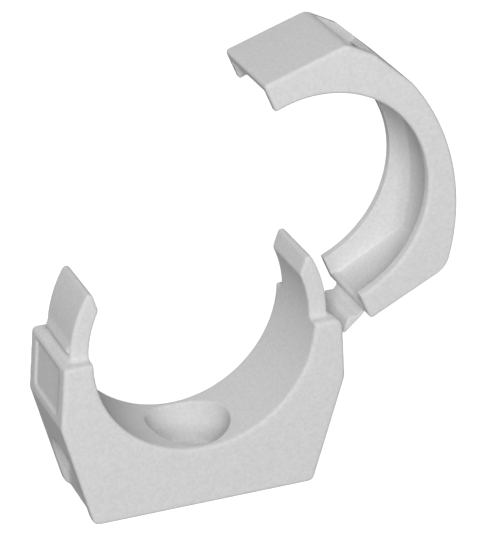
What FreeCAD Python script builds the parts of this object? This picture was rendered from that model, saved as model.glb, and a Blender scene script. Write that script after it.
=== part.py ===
import FreeCAD, Part
import math
import os
import Sketcher

# Pipe clip for a 32 mm pipe: a saddle on a screw foot, and a cap that swings on a film hinge.
# Millimetres. X runs across the clip with the hinge at +X, Y runs along the pipe, Z points up.
# The origin is the middle of the foot's underside.
# The cap is drawn closed on the saddle and then turned about the hinge to where it was moulded.

SIZES = (
    ("pipe_radius", 16.0, "seat radius for a 32 mm pipe"),
    ("axis_height", 25.0, "pipe axis above the foot, also the height of the two ledges"),
    ("clip_depth", 14.0, "length of the clip along the pipe"),
    ("foot_half_width", 16.3, "half the width of the foot"),
    ("ledge_width", 1.48, "ledge beside the tongue on which the closed cap stands"),
    ("waist_swell", 0.63, "how far the waist stands out past the ledge"),
    ("waist_drop", 9.2, "waist below the ledges, where the flanks begin"),
    ("edge_chamfer", 0.3, "broken edges round the front and back faces"),
    ("waist_rounding", 1.2, "rounding of the corner between flank and wall"),
    ("foot_rounding", 0.9, "rounding of the foot's side corners"),
    ("latch_shoulder_rounding", 0.6, "rounding of the ledge's corner on the latch side"),
    ("hinge_shoulder_rounding", 1.3, "rounding of the ledge's corner on the hinge side"),
    ("screw_radius", 3.2, "clearance hole for an M6 screw"),
    ("head_radius", 5.9, "recess for the screw's head"),
    ("head_floor", 3.0, "thickness of the foot under the screw's head"),
    ("tongue_thickness", 2.65, "wall of the two tongues that carry the seat on past the ledges"),
    ("tongue_set_back", 2.0, "step from the front face back to the tongue"),
    ("tongue_arc_rise", 6.76, "height of the end of the seat on the tongue, above the axis"),
    ("tongue_rise", 9.4, "height of the tongue's tip above the axis"),
    ("tongue_tip_width", 0.75, "flat on the tongue's tip"),
    ("tongue_tip_rounding", 0.55, "rounding of the tip's two corners"),
    ("tongue_lead_rounding", 0.8, "rounding where the seat turns into the lead-in"),
    ("tongue_root", 1.0, "depth to which the tongue is drawn into the shoulder"),
    ("tongue_edge", 0.35, "rounding of the tongue's front and back edges"),
    ("tongue_fillet", 0.5, "fillet at the tongue's foot"),
    ("catch_width", 8.6, "width of the catch along the pipe"),
    ("catch_reach", 0.5, "how far the catch stands out of the tongue"),
    ("catch_lip_rise", 1.15, "height of the catch's lip above the ledge"),
    ("catch_ramp", 1.5, "height of the catch's ramp"),
    ("catch_undercut", 0.3, "rise of the catch's underside to its lip"),
    ("hollow_width", 10.0, "width of the hollow in each flank"),
    ("hollow_arch_height", 5.0, "height of the centre of the hollow's arch"),
    ("hollow_depth", 0.4, "depth of the hollow at the foot"),
    ("panel_width", 9.6, "width of the sunk panel in the latch-side wall"),
    ("panel_depth", 0.3, "depth of the sunk panel"),
    ("panel_drop", 1.0, "panel's upper edge below the ledge"),
    ("panel_height", 7.0, "height of the panel"),
    ("panel_rounding", 1.2, "rounding of the panel's lower corners"),
    ("cap_overhang", 0.17, "how far the cap's ends stand out past the shoulders"),
    ("cap_wall_lean", 4.0, "inward lean of the cap's side walls, in degrees"),
    ("cap_corner_rise", 12.7, "sharp corner between side wall and round top, above the axis"),
    ("cap_corner_rounding", 3.4, "rounding of that corner on the hinge side"),
    ("bevel_start_rise", 11.8, "height above the axis where the latch-side bevel leaves the wall"),
    ("bevel_bend_inset", 3.6, "distance from there to the bevel's bend, across"),
    ("bevel_bend_rise", 14.9, "height of that bend above the axis"),
    ("bevel_end_inset", 10.3, "distance from there to the round top, across"),
    ("bevel_rounding", 1.8, "rounding between wall and bevel"),
    ("latch_end_drop", 0.5, "how much farther than the hinge end the latch end reaches down"),
    ("crown_rise", 19.6, "height of the top of the cap above the axis"),
    ("cheek_thickness", 1.5, "thickness of the cap's front and back rims"),
    ("cap_wall", 1.25, "thickness of the cap's outer wall"),
    ("cap_end_rounding", 0.5, "rounding of the outer corners of the cap's ends"),
    ("hook_clearance", 0.15, "gap between the cap's hook lips and the tongues"),
    ("hook_height", 0.4, "straight part of the hook lip"),
    ("hook_lead", 0.25, "lead-in chamfer under the hook lip"),
    ("hook_slope_rise", 0.65, "height over which the hook lip runs out into the wall"),
    ("hook_end_wall", 1.0, "thickness of the wall above the hook lip"),
    ("channel_corner", 1.5, "thickness of the wall at the channel's inside corner"),
    ("channel_corner_rise", 12.4, "that corner above the axis, also the window's lower edge"),
    ("window_inset", 6.8, "distance of the window's far edge from the start of the bevel, across"),
    ("closing_gap", 0.1, "gap left between the closed cap's ends and the ledges"),
    ("opening_angle", 66.8, "angle by which the cap stands open as moulded, in degrees"),
    ("pivot_reach", 1.5, "hinge line beyond the ledge"),
    ("pivot_drop", 3.53, "hinge line below the ledge"),
    ("film_radius", 0.2, "half the thickness of the film at the hinge line"),
    ("film_gap", 0.05, "gap round the film"),
    ("link_width", 8.8, "width of the link along the pipe"),
    ("link_lean", 42.0, "slope of the link's underside as moulded, in degrees"),
    ("link_length", 3.4, "length of the link from the hinge line to its tip"),
    ("link_rear_along", 1.5, "near end of the link's flat top, along it"),
    ("link_rear_rise", 0.95, "thickness of the link there, from the hinge line"),
    ("link_peak_along", 2.15, "far end of the link's flat top, along it"),
    ("link_peak_rise", 1.05, "thickness of the link there, from the hinge line"),
    ("link_neck_along", 3.05, "place of the groove in front of the cap"),
    ("link_neck_rise", 0.2, "height of that groove, from the hinge line"),
    ("link_root", 0.45, "thickness of the link where it runs into the cap's end"),
    ("notch_width", 9.8, "width of the notch for the link in the hinge-side shoulder"),
    ("notch_depth", 0.83, "depth of the notch from the ledge's edge"),
    ("notch_drop", 2.7, "notch's lower edge below the ledge"),
    ("lug_flank_lean", 98.0, "slope of the lug's upper flank, from its underside, in degrees"),
    ("overcut", 1.0, "how far cuts run on past the faces that they open"),
)

NEAR = 0.02


class Size:
    """A length with its number and the formula that gives it in the sheet."""

    def __init__(self, value, text):
        self.value = value
        self.text = text

    def __add__(self, other):
        return combine(self, "+", other)

    def __sub__(self, other):
        return combine(self, "-", other)

    def __mul__(self, other):
        return combine(self, "*", other)

    def __truediv__(self, other):
        return combine(self, "/", other)

    def __neg__(self):
        return Size(-self.value, "-(" + self.text + ")")


def as_size(number):
    if isinstance(number, Size):
        return number
    return Size(float(number), repr(float(number)))


def combine(left, sign, right):
    left = as_size(left)
    right = as_size(right)
    text = "(" + left.text + " " + sign + " " + right.text + ")"
    if sign == "+":
        return Size(left.value + right.value, text)
    if sign == "-":
        return Size(left.value - right.value, text)
    if sign == "*":
        return Size(left.value * right.value, text)
    return Size(left.value / right.value, text)


def root(size):
    return Size(math.sqrt(size.value), "sqrt(" + size.text + ")")


def cosine(size):
    return Size(math.cos(math.radians(size.value)), "cos(" + size.text + " * 1 deg)")


def sine(size):
    return Size(math.sin(math.radians(size.value)), "sin(" + size.text + " * 1 deg)")


def on_circle(radius, offset):
    """The other coordinate of a point on a circle, from the one that is known."""
    return root(radius * radius - offset * offset)


def on_slope(first, second, height):
    """The x of a straight line through two points at a height."""
    share = (height - first[1]) / (second[1] - first[1])
    return first[0] + (second[0] - first[0]) * share


def make_sheet(document):
    sheet = document.addObject("Spreadsheet::Sheet", "Sizes")
    sizes = {}
    for row, (name, value, meaning) in enumerate(SIZES, start=1):
        sheet.set("A%d" % row, meaning)
        sheet.set("B%d" % row, str(value))
        sheet.setAlias("B%d" % row, name)
        sizes[name] = Size(value, "Sizes." + name)
    document.recompute()
    return sizes


def add_places(s):
    """Places that follow from the sizes: outer faces, the waist and the hinge line."""
    s["tongue_radius"] = s["pipe_radius"] + s["tongue_thickness"]
    s["shoulder_half_width"] = s["tongue_radius"] + s["ledge_width"]
    s["waist_half_width"] = s["shoulder_half_width"] + s["waist_swell"]
    s["waist_height"] = s["axis_height"] - s["waist_drop"]
    s["pivot_x"] = s["shoulder_half_width"] + s["pivot_reach"]
    s["pivot_z"] = s["axis_height"] - s["pivot_drop"]
    s["cap_half_width"] = s["shoulder_half_width"] + s["cap_overhang"]


def origin_plane(body, role):
    for feature in body.Origin.OriginFeatures:
        if feature.Role == role:
            return feature
    raise ValueError("no plane " + role)


def new_sketch(body, name, role="XZ_Plane", offset=None):
    """A sketch on one of the body's own planes, moved along the plane's normal if asked."""
    sketch = body.newObject("Sketcher::SketchObject", name)
    sketch.AttachmentSupport = [(origin_plane(body, role), "")]
    sketch.MapMode = "FlatFace"
    if offset is not None:
        sketch.AttachmentOffset = FreeCAD.Placement(
            FreeCAD.Vector(0, 0, offset.value), FreeCAD.Rotation())
        sketch.setExpression("AttachmentOffset.Base.z", offset.text)
    return sketch


def hold(sketch, kind, geometry, point, size):
    """Hold one coordinate of a point, or one radius, at a size of the sheet."""
    if point is None:
        index = sketch.addConstraint(Sketcher.Constraint(kind, geometry, size.value))
    else:
        index = sketch.addConstraint(Sketcher.Constraint(kind, geometry, point, size.value))
    sketch.setExpression("Constraints[%d]" % index, size.text)


class Arc:
    """A round stretch of an outline, about a centre, from its corner to the next one."""

    def __init__(self, centre_x, centre_z, clockwise=False):
        self.centre_x = centre_x
        self.centre_z = centre_z
        self.clockwise = clockwise


def arc_geometry(arc, start, end):
    centre = FreeCAD.Vector(arc.centre_x.value, arc.centre_z.value, 0)
    first, last = (end, start) if arc.clockwise else (start, end)
    angles = [math.atan2(point.y - centre.y, point.x - centre.x) for point in (first, last)]
    if angles[1] < angles[0]:
        angles[1] += 2 * math.pi
    circle = Part.Circle(centre, FreeCAD.Vector(0, 0, 1), (start - centre).Length)
    return Part.ArcOfCircle(circle, angles[0], angles[1])


def outline(sketch, corners):
    """A closed outline through corners (x, z) or (x, z, Arc), held by their sizes."""
    points = [FreeCAD.Vector(as_size(corner[0]).value, as_size(corner[1]).value, 0)
              for corner in corners]
    ends = []
    for index, corner in enumerate(corners):
        start = points[index]
        end = points[(index + 1) % len(points)]
        arc = corner[2] if len(corner) > 2 else None
        if arc is None:
            geometry = sketch.addGeometry(Part.LineSegment(start, end), False)
            ends.append((geometry, 1, 2))
            continue
        geometry = sketch.addGeometry(arc_geometry(arc, start, end), False)
        ends.append((geometry, 2, 1) if arc.clockwise else (geometry, 1, 2))
        chord = end - start
        if abs(chord.x) > abs(chord.y):
            hold(sketch, "DistanceY", geometry, 3, arc.centre_z)
        else:
            hold(sketch, "DistanceX", geometry, 3, arc.centre_x)
    for index, corner in enumerate(corners):
        geometry, first, last = ends[index]
        before = ends[index - 1]
        sketch.addConstraint(
            Sketcher.Constraint("Coincident", before[0], before[2], geometry, first))
        hold(sketch, "DistanceX", geometry, first, as_size(corner[0]))
        hold(sketch, "DistanceY", geometry, first, as_size(corner[1]))


def circle(sketch, centre_x, centre_y, radius):
    centre_x = as_size(centre_x)
    centre_y = as_size(centre_y)
    centre = FreeCAD.Vector(centre_x.value, centre_y.value, 0)
    shape = Part.Circle(centre, FreeCAD.Vector(0, 0, 1), radius.value)
    geometry = sketch.addGeometry(shape, False)
    hold(sketch, "Radius", geometry, None, radius)
    hold(sketch, "DistanceX", geometry, 3, centre_x)
    hold(sketch, "DistanceY", geometry, 3, centre_y)


def body_volume(body):
    return 0.0 if body.Shape.isNull() else body.Shape.Volume


def pad(body, sketch, name, depth):
    """Extrude a sketch equally to both sides of its plane."""
    before = body_volume(body)
    feature = body.newObject("PartDesign::Pad", name)
    feature.Profile = sketch
    feature.SideType = "Symmetric"
    feature.Length = depth.value
    feature.setExpression("Length", depth.text)
    return finish(body, feature, before, 1)


def pocket(body, sketch, name, depth):
    """Cut a sketch equally to both sides of its plane."""
    before = body_volume(body)
    feature = body.newObject("PartDesign::Pocket", name)
    feature.Profile = sketch
    feature.SideType = "Symmetric"
    feature.Length = depth.value
    feature.setExpression("Length", depth.text)
    return finish(body, feature, before, -1)


def pocket_onwards(body, sketch, name, along_normal):
    """Cut a sketch from its plane right through to one side."""
    before = body_volume(body)
    feature = body.newObject("PartDesign::Pocket", name)
    feature.Profile = sketch
    feature.Type = "ThroughAll"
    feature.Reversed = along_normal
    return finish(body, feature, before, -1)


def groove(body, sketch, name):
    """Cut a sketch all round its own horizontal axis."""
    before = body_volume(body)
    feature = body.newObject("PartDesign::Groove", name)
    feature.Profile = sketch
    feature.ReferenceAxis = (sketch, ["H_Axis"])
    feature.Angle = 360
    return finish(body, feature, before, -1)


def mirror(body, original, name, change):
    """Repeat a feature on the other side of the middle."""
    before = body_volume(body)
    feature = body.newObject("PartDesign::Mirrored", name)
    feature.Originals = [original]
    feature.MirrorPlane = (origin_plane(body, "YZ_Plane"), [""])
    body.Tip = feature
    return finish(body, feature, before, change)


def finish(body, feature, before, change):
    """Recompute, and make sure that the feature added or removed material as it should."""
    body.Document.recompute()
    gained = feature.Shape.Volume - before
    if gained * change <= 0:
        raise RuntimeError("%s changed the volume by %.3f" % (feature.Name, gained))
    return feature


def dress_edges(body, kind, size_property, name, size, wanted):
    """Fillet or chamfer the edges of the body that the test picks out."""
    base = body.Tip
    names = ["Edge%d" % (index + 1) for index, edge in enumerate(base.Shape.Edges)
             if wanted(edge)]
    if not names:
        raise RuntimeError("no edge for " + name)
    feature = body.newObject(kind, name)
    feature.Base = (base, names)
    feature.setExpression(size_property, size.text)
    body.Document.recompute()
    if feature.Shape.isNull():
        raise RuntimeError(name + " can't be made")
    return feature


def fillet(body, name, radius, wanted):
    return dress_edges(body, "PartDesign::Fillet", "Radius", name, radius, wanted)


def chamfer(body, name, size, wanted):
    return dress_edges(body, "PartDesign::Chamfer", "Size", name, size, wanted)


def edge_along_pipe(x, z):
    """Test for an edge along Y that stands at a place in the front view."""
    def wanted(edge):
        box = edge.BoundBox
        flat = max(box.XLength, box.ZLength) < NEAR
        return (flat and box.YLength > NEAR
                and abs(box.XMin - x.value) < NEAR and abs(box.ZMin - z.value) < NEAR)
    return wanted


def edge_on_face(half_depth):
    """Test for an edge that lies in the plane of the front or the back face."""
    def wanted(edge):
        box = edge.BoundBox
        return box.YLength < NEAR and abs(abs(box.YMin) - half_depth.value) < NEAR
    return wanted


def any_of(*tests):
    return lambda edge: any(test(edge) for test in tests)


def build_block(body, s):
    """The foot, flanks and shoulders as one block up to the ledges."""
    axis = s["axis_height"]
    sketch = new_sketch(body, "BlockOutline")
    outline(sketch, [
        (-s["foot_half_width"], 0),
        (s["foot_half_width"], 0),
        (s["waist_half_width"], s["waist_height"]),
        (s["shoulder_half_width"], axis),
        (-s["shoulder_half_width"], axis),
        (-s["waist_half_width"], s["waist_height"]),
    ])
    pad(body, sketch, "Block", s["clip_depth"])
    corners = (
        ("WaistRounding", "waist_rounding", "waist_half_width", s["waist_height"], (1, -1)),
        ("FootRounding", "foot_rounding", "foot_half_width", as_size(0), (1, -1)),
        ("LatchShoulder", "latch_shoulder_rounding", "shoulder_half_width", axis, (-1,)),
        ("HingeShoulder", "hinge_shoulder_rounding", "shoulder_half_width", axis, (1,)),
    )
    for name, radius_name, x_name, height, sides in corners:
        tests = [edge_along_pipe(s[x_name] * side, height) for side in sides]
        fillet(body, name, s[radius_name], any_of(*tests))
    chamfer(body, "FaceEdges", s["edge_chamfer"], edge_on_face(s["clip_depth"] / 2))


def build_seat(body, s):
    """The pipe's round seat cut right through, with broken edges at the front and back."""
    axis = s["axis_height"]
    sketch = new_sketch(body, "SeatOutline")
    outline(sketch, [
        (0, axis - s["pipe_radius"], Arc(as_size(0), axis)),
        (0, axis + s["pipe_radius"], Arc(as_size(0), axis)),
    ])
    pocket(body, sketch, "Seat", s["clip_depth"] + s["overcut"])

    half = s["clip_depth"] / 2
    size = s["edge_chamfer"]
    inside = s["pipe_radius"] - size
    for name, side in (("Front", -1), ("Back", 1)):
        sketch = new_sketch(body, "Seat" + name + "Outline", "YZ_Plane")
        sketch.AttachmentOffset = FreeCAD.Placement(
            FreeCAD.Vector(0, axis.value, 0), FreeCAD.Rotation())
        sketch.setExpression("AttachmentOffset.Base.y", axis.text)
        outline(sketch, [
            ((half - size * 2) * side, inside),
            ((half + size) * side, inside),
            ((half + size) * side, s["pipe_radius"] + size * 2),
        ])
        groove(body, sketch, "Seat" + name + "Edge")


def build_screw_hole(body, s):
    """The screw's hole up through the foot, and the recess for its head."""
    sketch = new_sketch(body, "ScrewOutline", "XY_Plane")
    circle(sketch, 0, 0, s["screw_radius"])
    pocket_onwards(body, sketch, "ScrewHole", along_normal=True)
    sketch = new_sketch(body, "HeadOutline", "XY_Plane", s["head_floor"])
    circle(sketch, 0, 0, s["head_radius"])
    pocket_onwards(body, sketch, "HeadRecess", along_normal=True)


def build_flank_hollows(body, s):
    """The arched hollow in each flank, open at the foot."""
    half = s["hollow_width"] / 2
    arch = s["hollow_arch_height"]
    below = -s["overcut"]
    sketch = new_sketch(body, "HollowOutline", "YZ_Plane",
                        s["foot_half_width"] - s["hollow_depth"])
    outline(sketch, [
        (-half, below),
        (half, below),
        (half, arch, Arc(as_size(0), arch)),
        (-half, arch),
    ])
    hollow = pocket_onwards(body, sketch, "FlankHollow", along_normal=True)
    mirror(body, hollow, "FlankHollowMirrored", -1)


def lead_in_end(s):
    """Where the seat ends on the tongue and its lead-in begins."""
    rise = s["tongue_arc_rise"]
    return on_circle(s["pipe_radius"], rise), s["axis_height"] + rise


def build_tongues(body, s):
    """The tongues carry the seat on past the ledges and lead the pipe in."""
    axis = s["axis_height"]
    outer = s["tongue_radius"]
    tip = axis + s["tongue_rise"]
    tip_x = on_circle(outer, s["tongue_rise"])
    lead_tip = (tip_x - s["tongue_tip_width"], tip)
    lead_end = lead_in_end(s)
    inside_z = lead_end[1] - s["overcut"]
    inside = (on_slope(lead_tip, lead_end, inside_z), inside_z)
    sketch = new_sketch(body, "TongueOutline")
    outline(sketch, [
        (inside[0], axis - s["tongue_root"]),
        (outer, axis - s["tongue_root"]),
        (outer, axis, Arc(as_size(0), axis)),
        (tip_x, tip),
        lead_tip,
        inside,
    ])
    tongue = pad(body, sketch, "Tongue", s["clip_depth"] - s["tongue_set_back"] * 2)
    mirror(body, tongue, "TongueMirrored", 1)


def soften_tongues(body, s):
    """Round the tips, the lead-ins and the rims of the tongues, and fillet their feet."""
    axis = s["axis_height"]
    depth = s["clip_depth"] - s["tongue_set_back"] * 2
    tip = axis + s["tongue_rise"]
    tip_x = on_circle(s["tongue_radius"], s["tongue_rise"])
    lead_x, lead_z = lead_in_end(s)
    tips = [edge_along_pipe(x * side, tip)
            for x in (tip_x, tip_x - s["tongue_tip_width"]) for side in (1, -1)]
    fillet(body, "TongueTips", s["tongue_tip_rounding"], any_of(*tips))
    leads = [edge_along_pipe(lead_x * side, lead_z) for side in (1, -1)]
    fillet(body, "TongueLeads", s["tongue_lead_rounding"], any_of(*leads))

    def rim(edge):
        return edge_on_face(depth / 2)(edge) and edge.BoundBox.ZMax > axis.value + NEAR
    fillet(body, "TongueRims", s["tongue_edge"], rim)

    def foot(edge):
        box = edge.BoundBox
        on_ledge = box.ZLength < NEAR and abs(box.ZMin - axis.value) < NEAR
        return on_ledge and edge_on_face(depth / 2)(edge)
    fillet(body, "TongueFeet", s["tongue_fillet"], foot)


def build_catch(body, s):
    """The ramp on the latch-side tongue that the cap's hook snaps over."""
    axis = s["axis_height"]
    outer = s["tongue_radius"]
    lip = s["catch_lip_rise"]
    top = lip + s["catch_ramp"]
    bottom = lip - s["catch_undercut"]
    lip_x = on_circle(outer, lip) + s["catch_reach"]
    inside = outer - s["tongue_thickness"] / 2
    sketch = new_sketch(body, "CatchOutline")
    outline(sketch, [
        (-inside, axis + bottom),
        (-inside, axis + top),
        (-on_circle(outer, top), axis + top),
        (-lip_x, axis + lip),
        (-on_circle(outer, bottom), axis + bottom),
    ])
    pad(body, sketch, "Catch", s["catch_width"])


def build_panel(body, s):
    """The shallow sunk panel in the wall under the catch."""
    waist = (s["waist_half_width"], s["waist_height"])
    shoulder = (s["shoulder_half_width"], s["axis_height"])
    top = s["axis_height"] - s["panel_drop"]
    bottom = top - s["panel_height"]
    floor_bottom = on_slope(waist, shoulder, bottom) - s["panel_depth"]
    floor_top = on_slope(waist, shoulder, top) - s["panel_depth"]
    outside = s["waist_half_width"] + s["overcut"]
    sketch = new_sketch(body, "PanelOutline")
    outline(sketch, [
        (-floor_bottom, bottom),
        (-outside, bottom),
        (-outside, top),
        (-floor_top, top),
    ])
    pocket(body, sketch, "Panel", s["panel_width"])

    def lower_corner(edge):
        box = edge.BoundBox
        across = box.YLength < NEAR and box.ZLength < NEAR and box.XMax < 0
        return (across and abs(box.ZMin - bottom.value) < NEAR
                and abs(abs(box.YMin) - s["panel_width"].value / 2) < NEAR)
    fillet(body, "PanelCorners", s["panel_rounding"], lower_corner)


def link_point(s, along, rise):
    """A point of the hinge, given along and above the link's underside, in the front view."""
    lean_x = cosine(s["link_lean"])
    lean_z = sine(s["link_lean"])
    return (s["pivot_x"] + along * lean_x - rise * lean_z,
            s["pivot_z"] + along * lean_z + rise * lean_x)


def closed_link_point(s, along, rise):
    """The same point with the link turned back to the closed cap."""
    lean = s["link_lean"] + s["opening_angle"]
    return (s["pivot_x"] + along * cosine(lean) - rise * sine(lean),
            s["pivot_z"] + along * sine(lean) + rise * cosine(lean))


def build_hinge_lug(body, s):
    """The notch for the link, and the lug that ends in the groove for the film."""
    inside = s["shoulder_half_width"] - s["notch_depth"]
    outside = s["waist_half_width"] + s["overcut"]
    bottom = s["axis_height"] - s["notch_drop"]
    above = s["axis_height"] + s["overcut"]
    sketch = new_sketch(body, "NotchOutline")
    outline(sketch, [(inside, bottom), (outside, bottom), (outside, above), (inside, above)])
    pocket(body, sketch, "HingeNotch", s["notch_width"])

    below = -s["film_radius"]
    slope = sine(s["link_lean"]) / cosine(s["link_lean"])
    under = link_point(s, as_size(0), below)
    flank_foot = link_point(s, -(s["film_radius"] + s["film_gap"]), as_size(0))
    flank = s["lug_flank_lean"] + s["link_lean"]
    flank_slope = sine(flank) / cosine(flank)
    sketch = new_sketch(body, "LugOutline")
    outline(sketch, [
        (inside, under[1] - (under[0] - inside) * slope),
        under,
        flank_foot,
        (inside, flank_foot[1] - (flank_foot[0] - inside) * flank_slope),
    ])
    pad(body, sketch, "Lug", s["link_width"])
    sketch = new_sketch(body, "FilmGrooveOutline")
    circle(sketch, s["pivot_x"], s["pivot_z"], s["film_radius"] + s["film_gap"])
    pocket(body, sketch, "FilmGroove", s["notch_width"])


def build_base(document, s):
    body = document.addObject("PartDesign::Body", "Base")
    body.Label = "base"
    build_block(body, s)
    build_tongues(body, s)
    build_seat(body, s)
    soften_tongues(body, s)
    build_screw_hole(body, s)
    build_flank_hollows(body, s)
    build_catch(body, s)
    build_panel(body, s)
    build_hinge_lug(body, s)
    return body


def cap_wall_x(s, rise):
    """Distance from the middle to the cap's side wall, at a height above the axis."""
    return s["cap_half_width"] - rise * sine(s["cap_wall_lean"]) / cosine(s["cap_wall_lean"])


def crown_circle(s):
    """Centre height and radius of the cap's round top, through its corners and its top."""
    half = cap_wall_x(s, s["cap_corner_rise"])
    sag = s["crown_rise"] - s["cap_corner_rise"]
    radius = (half * half + sag * sag) / (sag * 2)
    return s["axis_height"] + s["crown_rise"] - radius, radius


def build_shell(body, s):
    """The cap's full outline, as deep as the clip, with broken edges."""
    axis = s["axis_height"]
    corner = (cap_wall_x(s, s["cap_corner_rise"]), axis + s["cap_corner_rise"])
    centre_z, radius = crown_circle(s)
    bevel_foot = (cap_wall_x(s, s["bevel_start_rise"]), axis + s["bevel_start_rise"])
    bend = (bevel_foot[0] - s["bevel_bend_inset"], axis + s["bevel_bend_rise"])
    bevel_x = bevel_foot[0] - s["bevel_end_inset"]
    latch_end = (cap_wall_x(s, -s["latch_end_drop"]), axis - s["latch_end_drop"])
    sketch = new_sketch(body, "CapOutline")
    outline(sketch, [
        (s["cap_half_width"], axis),
        (corner[0], corner[1], Arc(as_size(0), centre_z)),
        (-bevel_x, centre_z + on_circle(radius, bevel_x)),
        (-bend[0], bend[1]),
        (-bevel_foot[0], bevel_foot[1]),
        (-latch_end[0], latch_end[1]),
    ])
    pad(body, sketch, "Shell", s["clip_depth"])
    fillet(body, "HingeCorner", s["cap_corner_rounding"], edge_along_pipe(*corner))
    fillet(body, "LatchCorner", s["bevel_rounding"],
           edge_along_pipe(-bevel_foot[0], bevel_foot[1]))
    ends = any_of(edge_along_pipe(s["cap_half_width"], axis),
                  edge_along_pipe(-latch_end[0], latch_end[1]))
    fillet(body, "CapEnds", s["cap_end_rounding"], ends)
    chamfer(body, "CapFaceEdges", s["edge_chamfer"], edge_on_face(s["clip_depth"] / 2))


def inner_wall(s, side, drop):
    """Corners of the wall's inner face at one end, from the end up to the corner."""
    axis = s["axis_height"]
    end = axis - drop
    lip_x = s["tongue_radius"] + s["hook_clearance"]
    lead = s["hook_lead"]
    lip_top = lead + s["hook_height"]
    relief = lip_top + s["hook_slope_rise"]
    relief_x = cap_wall_x(s, relief) - s["hook_end_wall"]
    corner = s["channel_corner_rise"]
    corner_x = cap_wall_x(s, corner) - s["channel_corner"]
    return [
        ((lip_x + lead) * side, end),
        (lip_x * side, end + lead),
        (lip_x * side, end + lip_top),
        (relief_x * side, end + relief),
        (corner_x * side, axis + corner),
    ]


def build_channel(body, s):
    """The channel between the cap's two rims, with the hook lips at its ends."""
    centre_z, radius = crown_circle(s)
    inner_radius = radius - s["cap_wall"]
    crown_x = s["pipe_radius"]
    crown_z = centre_z + on_circle(inner_radius, crown_x)
    below = s["axis_height"] - s["latch_end_drop"] - s["overcut"]
    right = inner_wall(s, 1, as_size(0))
    left = inner_wall(s, -1, s["latch_end_drop"])
    sketch = new_sketch(body, "ChannelOutline")
    outline(sketch, [(right[0][0], below)] + right
            + [(crown_x, crown_z, Arc(as_size(0), centre_z)), (-crown_x, crown_z)]
            + left[::-1] + [(left[0][0], below)])
    pocket(body, sketch, "Channel", s["clip_depth"] - s["cheek_thickness"] * 2)


def build_window(body, s):
    """The window between the rims in the latch-side corner."""
    start = s["axis_height"] + s["channel_corner_rise"]
    above = s["axis_height"] + s["crown_rise"] + s["overcut"]
    outside = s["cap_half_width"] + s["overcut"]
    inside = cap_wall_x(s, s["bevel_start_rise"]) - s["window_inset"]
    sketch = new_sketch(body, "WindowOutline")
    outline(sketch, [(-outside, start), (-inside, start), (-inside, above), (-outside, above)])
    pocket(body, sketch, "Window", s["clip_depth"] - s["cheek_thickness"] * 2)


def build_link(body, s):
    """The link from the film at the hinge line to the end of the cap."""
    axis = s["axis_height"]
    film = s["film_radius"]
    tip = closed_link_point(s, s["link_length"], -film)
    rear = closed_link_point(s, s["link_rear_along"], s["link_rear_rise"])
    peak = closed_link_point(s, s["link_peak_along"], s["link_peak_rise"])
    neck = closed_link_point(s, s["link_neck_along"], s["link_neck_rise"])
    under = closed_link_point(s, as_size(0), -film)
    above = closed_link_point(s, as_size(0), film)
    end_x = s["cap_half_width"] - s["cap_end_rounding"] / 2
    seat_z = axis + s["cap_end_rounding"]
    sketch = new_sketch(body, "LinkOutline")
    outline(sketch, [
        under,
        tip,
        (end_x, seat_z),
        (end_x - s["link_root"], seat_z),
        neck,
        peak,
        rear,
        above,
    ])
    pad(body, sketch, "Link", s["link_width"])
    sketch = new_sketch(body, "FilmOutline")
    circle(sketch, s["pivot_x"], s["pivot_z"], film)
    pad(body, sketch, "Film", s["link_width"])


def build_cap(document, s):
    body = document.addObject("PartDesign::Body", "Cap")
    body.Label = "cap"
    s = dict(s)
    s["axis_height"] = s["axis_height"] + s["closing_gap"]
    build_shell(body, s)
    build_channel(body, s)
    build_window(body, s)
    build_seat(body, s)
    build_link(body, s)
    open_cap(body, s)
    return body


def open_cap(body, s):
    """Turn the closed cap about the hinge line to where it was moulded."""
    pivot = FreeCAD.Vector(s["pivot_x"].value, 0, s["pivot_z"].value)
    turn = FreeCAD.Rotation(FreeCAD.Vector(0, 1, 0), s["opening_angle"].value)
    body.Placement = FreeCAD.Placement(pivot - turn.multVec(pivot), turn)


def check(document, bodies):
    for item in document.Objects:
        if "Invalid" in item.State or "Error" in item.State:
            raise RuntimeError(item.Name + " is " + ", ".join(item.State))
    for body in bodies:
        if body.Shape.isNull() or not body.Shape.isValid():
            raise RuntimeError(body.Label + " has no sound shape")
        if len(body.Shape.Solids) != 1:
            raise RuntimeError("%s has %d solids" % (body.Label, len(body.Shape.Solids)))


def main():
    document = FreeCAD.newDocument("pipe_clip")
    sizes = make_sheet(document)
    add_places(sizes)
    bodies = [build_base(document, sizes), build_cap(document, sizes)]
    document.recompute()
    check(document, bodies)
    os.makedirs("parts", exist_ok=True)
    for body in bodies:
        body.Shape.exportStep("parts/" + body.Label + ".step")
        print(body.Label, "volume %.1f mm3" % body.Shape.Volume)


main()
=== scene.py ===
import bmesh
import bpy
from mathutils import Matrix, Vector


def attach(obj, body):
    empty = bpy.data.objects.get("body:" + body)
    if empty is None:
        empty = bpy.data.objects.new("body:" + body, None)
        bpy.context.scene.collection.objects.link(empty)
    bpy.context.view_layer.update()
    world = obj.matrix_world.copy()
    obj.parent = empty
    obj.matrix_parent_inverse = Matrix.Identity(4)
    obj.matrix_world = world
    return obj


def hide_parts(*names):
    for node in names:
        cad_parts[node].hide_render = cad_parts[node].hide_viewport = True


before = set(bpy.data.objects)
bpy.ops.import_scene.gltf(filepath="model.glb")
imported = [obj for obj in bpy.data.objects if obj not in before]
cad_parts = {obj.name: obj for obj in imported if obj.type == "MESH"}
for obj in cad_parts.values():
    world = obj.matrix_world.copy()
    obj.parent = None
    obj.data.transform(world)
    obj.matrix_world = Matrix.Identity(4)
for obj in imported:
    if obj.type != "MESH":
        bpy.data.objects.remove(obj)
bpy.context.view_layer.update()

MM = 0.001

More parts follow.
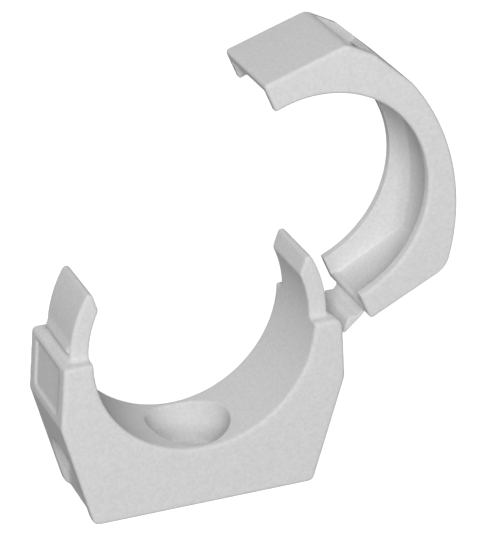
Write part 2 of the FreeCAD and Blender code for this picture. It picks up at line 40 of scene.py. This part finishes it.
# Spacing and height of the mould's grains, and the size of the clouds that the melt leaves.
# Real grains are nearer a tenth of a millimetre apart. They are too fine to show in the picture,
# so they are drawn as coarse and as high as they need to be to show.
GRAIN_MM = 0.45
GRAIN_HEIGHT_MM = 0.045
CLOUD_MM = 9.0

# The photograph's view: where the lens stands, what it looks along, and its length.
CAMERA_PLACE_MM = (-117.564, -300.095, 194.114)
CAMERA_RIGHT = (0.923896, -0.382541, 0.008929)
CAMERA_UP = (0.163414, 0.415555, 0.894768)
CAMERA_BACK = (-0.345995, -0.825213, 0.446442)
LENS_MM = 178.81
SENSOR_MM = 36.0

# Where the lamps look, and how far off and how wide they are.
LAMP_AIM = (0.008, 0.0, 0.03)
LAMP_DISTANCE = 0.6
LAMP_SIZE = 0.35
FLOOR_HALF_WIDTH = 2.0
FLOOR_GAP_MM = 0.02
# Vertices closer than this are one vertex of the solid's mesh.
WELD_MM = 0.002


def linear(hex_colour):
    """An sRGB colour such as "#D0D0D0" as linear red, green, blue and alpha."""
    channels = [int(hex_colour[i:i + 2], 16) / 255 for i in (1, 3, 5)]
    return tuple(c / 12.92 if c <= 0.04045 else ((c + 0.055) / 1.055) ** 2.4
                 for c in channels) + (1.0,)


def add_node(tree, kind, settings=None, links=None):
    """Add a node, set its properties and sockets by name, and link sockets by name."""
    node = tree.nodes.new(kind)
    for name, value in (settings or {}).items():
        if hasattr(node, name) and name not in node.inputs:
            setattr(node, name, value)
        else:
            node.inputs[name].default_value = value
    for name, source in (links or {}).items():
        tree.links.new(source, node.inputs[name])
    return node


def empty_material(name):
    """A material with an empty node tree."""
    material = bpy.data.materials.new(name)
    material.use_nodes = True
    material.node_tree.nodes.clear()
    return material


def moulded_polypropylene():
    """Light grey polypropylene from a spark-eroded mould.

    The eroded mould leaves a skin of fine grains. They scatter light at every angle, so the
    plastic looks dull and even: its edges hardly catch the light, the highlights are broad, and
    a fine speckle shows close up. The melt's flow leaves faint clouds
    in the gloss, and polypropylene is a little waxy, so some light goes in before it comes out.
    """
    material = empty_material("polypropylene_eroded_mould")
    tree = material.node_tree
    place = add_node(tree, "ShaderNodeTexCoord").outputs["Object"]
    grain = add_node(tree, "ShaderNodeTexNoise",
                     {"Scale": 1 / (GRAIN_MM * MM), "Detail": 2.0, "Roughness": 0.6},
                     {"Vector": place})
    colour = add_node(tree, "ShaderNodeValToRGB", {}, {"Fac": grain.outputs["Fac"]})
    colour.color_ramp.elements[0].position = 0.3
    colour.color_ramp.elements[0].color = linear("#D7D7D7")
    colour.color_ramp.elements[1].position = 0.7
    colour.color_ramp.elements[1].color = linear("#E1E1E1")
    bump = add_node(tree, "ShaderNodeBump", {"Strength": 1.0, "Distance": GRAIN_HEIGHT_MM * MM},
                    {"Height": grain.outputs["Fac"]})
    clouds = add_node(tree, "ShaderNodeTexNoise",
                      {"Scale": 1 / (CLOUD_MM * MM), "Detail": 3.0, "Roughness": 0.55},
                      {"Vector": place})
    gloss = add_node(tree, "ShaderNodeMapRange",
                     {"From Min": 0.3, "From Max": 0.7, "To Min": 0.74, "To Max": 0.82},
                     {"Value": clouds.outputs["Fac"]})
    plastic = add_node(tree, "ShaderNodeBsdfPrincipled",
                       {"IOR": 1.49, "Specular IOR Level": 0.35, "Diffuse Roughness": 0.35,
                        "Subsurface Weight": 0.05, "Subsurface Scale": 1.0 * MM,
                        "Subsurface Radius": (1.0, 1.0, 1.0)},
                       {"Base Color": colour.outputs["Color"], "Normal": bump.outputs["Normal"],
                        "Roughness": gloss.outputs["Result"]})
    add_node(tree, "ShaderNodeOutputMaterial", {}, {"Surface": plastic.outputs["BSDF"]})
    return material


def soften(node_name, body, material, voxel_mm, keep):
    """A copy of a CAD node whose edges are rounded over as a mould leaves them.

    The surface is drawn anew on a fine grid of voxels, evened out over its neighbours, which
    rounds every edge to about two voxels, and thinned where it is flat.
    """
    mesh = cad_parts[node_name].data.copy()
    mesh.name = node_name + "_soft"
    if "custom_normal" in mesh.attributes:
        mesh.attributes.remove(mesh.attributes["custom_normal"])
    shape = bmesh.new()
    shape.from_mesh(mesh)
    bmesh.ops.remove_doubles(shape, verts=shape.verts, dist=WELD_MM * MM)
    shape.to_mesh(mesh)
    shape.free()
    piece = bpy.data.objects.new(node_name + "_soft", mesh)
    bpy.context.scene.collection.objects.link(piece)
    mesh.materials.clear()
    mesh.materials.append(material)
    for face in mesh.polygons:
        face.use_smooth = True
    grid = piece.modifiers.new("grid", "REMESH")
    grid.mode = "VOXEL"
    grid.voxel_size = voxel_mm * MM
    grid.use_smooth_shade = True
    even = piece.modifiers.new("even", "SMOOTH")
    even.factor = 0.5
    even.iterations = 10
    thin = piece.modifiers.new("thin", "DECIMATE")
    thin.ratio = keep
    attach(piece, body)
    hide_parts(node_name)


def make_camera():
    """The lens at the photograph's place, with its turn given by its three axes."""
    camera = bpy.data.objects.new("camera", bpy.data.cameras.new("camera"))
    bpy.context.scene.collection.objects.link(camera)
    camera.data.lens = LENS_MM
    camera.data.sensor_width = SENSOR_MM
    camera.data.clip_start = 10 * MM
    camera.data.clip_end = 10.0
    turn = Matrix((CAMERA_RIGHT, CAMERA_UP, CAMERA_BACK)).transposed()
    camera.matrix_world = Matrix.Translation(Vector(CAMERA_PLACE_MM) * MM) @ turn.to_4x4()
    bpy.context.scene.camera = camera


def area_lamp(name, direction, watts):
    """A square soft lamp that looks at the clip from a direction."""
    lamp = bpy.data.objects.new(name, bpy.data.lights.new(name, "AREA"))
    lamp.data.size = LAMP_SIZE
    lamp.data.energy = watts
    bpy.context.scene.collection.objects.link(lamp)
    towards = Vector(direction).normalized()
    lamp.location = Vector(LAMP_AIM) + towards * LAMP_DISTANCE
    lamp.rotation_euler = towards.to_track_quat("Z", "Y").to_euler()


def white_sweep():
    """White paper for the floor and the background: white to the lens, plain grey as a bounce."""
    material = empty_material("paper_white_sweep")
    tree = material.node_tree
    paper = add_node(tree, "ShaderNodeBsdfDiffuse", {"Color": linear("#F4F4F4")})
    glow = add_node(tree, "ShaderNodeEmission", {"Color": linear("#FFFFFF"), "Strength": 0.8})
    seen = add_node(tree, "ShaderNodeAddShader")
    tree.links.new(paper.outputs[0], seen.inputs[0])
    tree.links.new(glow.outputs[0], seen.inputs[1])
    bounce = add_node(tree, "ShaderNodeBsdfDiffuse", {"Color": linear("#8A8A8A")})
    ray = add_node(tree, "ShaderNodeLightPath")
    mix = add_node(tree, "ShaderNodeMixShader", {}, {"Fac": ray.outputs["Is Camera Ray"]})
    tree.links.new(bounce.outputs[0], mix.inputs[1])
    tree.links.new(seen.outputs[0], mix.inputs[2])
    add_node(tree, "ShaderNodeOutputMaterial", {}, {"Surface": mix.outputs[0]})
    mesh = bpy.data.meshes.new("floor")
    half = FLOOR_HALF_WIDTH
    mesh.from_pydata([(-half, -half, 0), (half, -half, 0), (half, half, 0), (-half, half, 0)],
                     [], [(0, 1, 2, 3)])
    mesh.materials.append(material)
    floor = bpy.data.objects.new("floor", mesh)
    floor.location = (0, 0, -FLOOR_GAP_MM * MM)
    bpy.context.scene.collection.objects.link(floor)


def make_world():
    """White behind the clip to the lens, and a faint even light on the clip."""
    world = bpy.data.worlds.new("studio")
    world.use_nodes = True
    tree = world.node_tree
    tree.nodes.clear()
    ray = add_node(tree, "ShaderNodeLightPath")
    dim = add_node(tree, "ShaderNodeBackground", {"Color": linear("#FFFFFF"), "Strength": 0.03})
    bright = add_node(tree, "ShaderNodeBackground", {"Color": linear("#FFFFFF"), "Strength": 1.0})
    mix = add_node(tree, "ShaderNodeMixShader", {}, {"Fac": ray.outputs["Is Camera Ray"]})
    tree.links.new(dim.outputs[0], mix.inputs[1])
    tree.links.new(bright.outputs[0], mix.inputs[2])
    add_node(tree, "ShaderNodeOutputWorld", {}, {"Surface": mix.outputs[0]})
    bpy.context.scene.world = world


make_camera()
plastic = moulded_polypropylene()
soften("base", "base", plastic, voxel_mm=0.18, keep=0.5)
soften("cap", "cap", plastic, voxel_mm=0.12, keep=0.35)
white_sweep()
make_world()
# The key stands near the lens, a little above it; the back lamp lights the side that it leaves.
area_lamp("key", (-0.32, -0.80, 0.50), watts=3.65)
area_lamp("back", (0.0, 1.0, 0.08), watts=1.6)
bpy.context.scene.view_settings.view_transform = "Standard"
